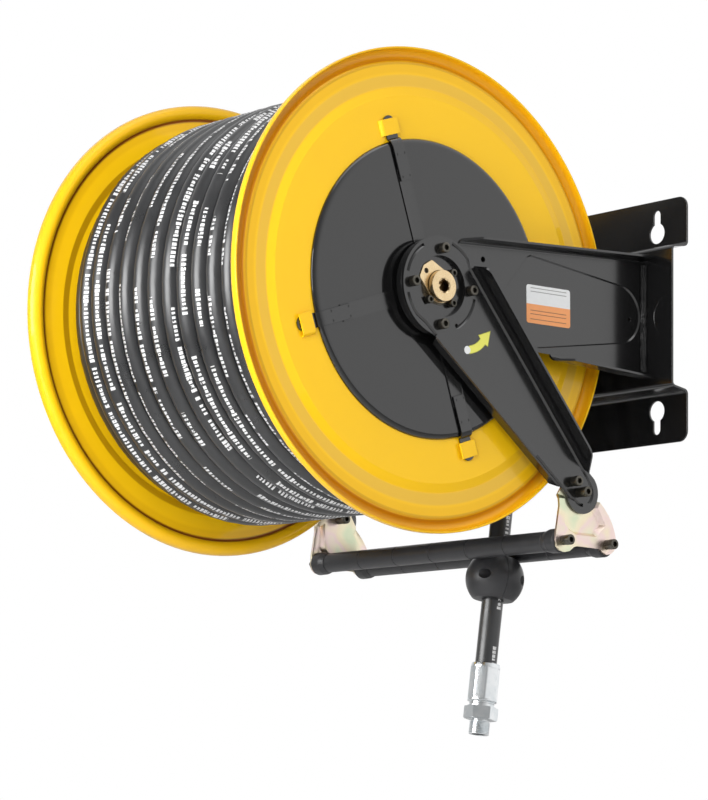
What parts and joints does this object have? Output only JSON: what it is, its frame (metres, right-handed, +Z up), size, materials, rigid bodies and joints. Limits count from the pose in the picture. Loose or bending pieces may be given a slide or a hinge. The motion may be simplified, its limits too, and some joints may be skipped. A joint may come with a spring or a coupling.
{
  "type": "fire hose reel",
  "caption": "Wall-mounted spring-rewind fire hose reel: yellow disc drum on stamped black arms, guide rollers, wound hose with stop ball and threaded end.",
  "frame": {"origin": "middle of the wall plate's back face, on the wall", "axes": "+X along the drum's axis away from the inlet, +Y into the wall, +Z up"},
  "size_m": [0.571, 0.681, 0.833],
  "materials": {
    "yellow_enamel": "glossy yellow enamel",
    "black_enamel": "glossy black enamel",
    "hose_rubber": "black rubber with a soft sheen",
    "black_plastic": "satin black plastic",
    "dark_steel": "blackened steel",
    "bright_steel": "ground steel",
    "brass": "machined brass",
    "white_zinc": "bright zinc plate",
    "yellow_zinc": "yellow chromate zinc plate"
  },
  "bodies": {
    "frame": {"wall_plate": "black_enamel", "wall_arm_near": "black_enamel", "wall_arm_far": "black_enamel", "weld_seams": "black_enamel", "guide_arm_near": "black_enamel", "guide_arm_far": "black_enamel", "hub_plate_near": "black_enamel", "hub_plate_far": "black_enamel", "hub_screws_near": "dark_steel", "hub_screws_far": "dark_steel", "flange_screws_near": "dark_steel", "flange_screws_far": "dark_steel", "fixed_shaft": "bright_steel", "end_plug": "brass", "inlet_port": "brass", "bearing_inner_rings": "bright_steel", "spring_arbor": "dark_steel", "roller_bracket_near": "yellow_zinc", "roller_bracket_far": "yellow_zinc", "arm_end_bolts": "dark_steel", "roller_axle_front": "dark_steel", "roller_axle_rear": "dark_steel", "pawl_pin": "bright_steel", "pawl_spring": "bright_steel", "hose_tail": "hose_rubber", "stop_ball_front": "black_plastic", "stop_ball_rear": "black_plastic", "stop_ball_screws": "dark_steel", "hose_ferrule": "white_zinc", "hose_adaptor": "white_zinc"},
    "drum": {"disc_near": "yellow_enamel", "disc_far": "yellow_enamel", "pan_near": "black_enamel", "pan_far": "black_enamel", "straps_near": "black_enamel", "straps_far": "black_enamel", "hook_plates_near": "black_enamel", "hook_plates_far": "black_enamel", "drum_core": "yellow_enamel", "bearing_housings": "dark_steel", "bearing_outer_rings": "bright_steel", "bearing_balls": "bright_steel", "tie_rods": "bright_steel", "spring_case": "bright_steel", "power_spring": "dark_steel", "ratchet_ring": "dark_steel", "swivel_sleeve": "brass", "swivel_seals": "hose_rubber", "feed_pipe": "brass", "hose_pack": "hose_rubber", "hose_winding": "hose_rubber"},
    "roller_front": {"roller_front_sleeves": "black_plastic", "roller_front_collars": "black_plastic"},
    "roller_rear": {"roller_rear_sleeves": "black_plastic", "roller_rear_collars": "black_plastic"},
    "pawl": {"pawl": "dark_steel"}
  },
  "joints": [
    {"name": "drum_spin", "type": "hinge", "parent": "frame", "child": "drum", "pos_m": [0, -0.381, -0.003], "axis": [1, 0, 0], "continuous": true},
    {"name": "front_roller_spin", "type": "hinge", "parent": "frame", "child": "roller_front", "pos_m": [0, -0.17696, -0.29782], "axis": [1, 0, 0], "continuous": true},
    {"name": "rear_roller_spin", "type": "hinge", "parent": "frame", "child": "roller_rear", "pos_m": [0, -0.10096, -0.29782], "axis": [1, 0, 0], "continuous": true},
    {"name": "pawl_swing", "type": "hinge", "parent": "frame", "child": "pawl", "pos_m": [0, -0.27622, 0.02704], "axis": [1, 0, 0], "range_deg": [-6, 14], "stiffness_Nm_per_rad": 0.3}
  ]
}
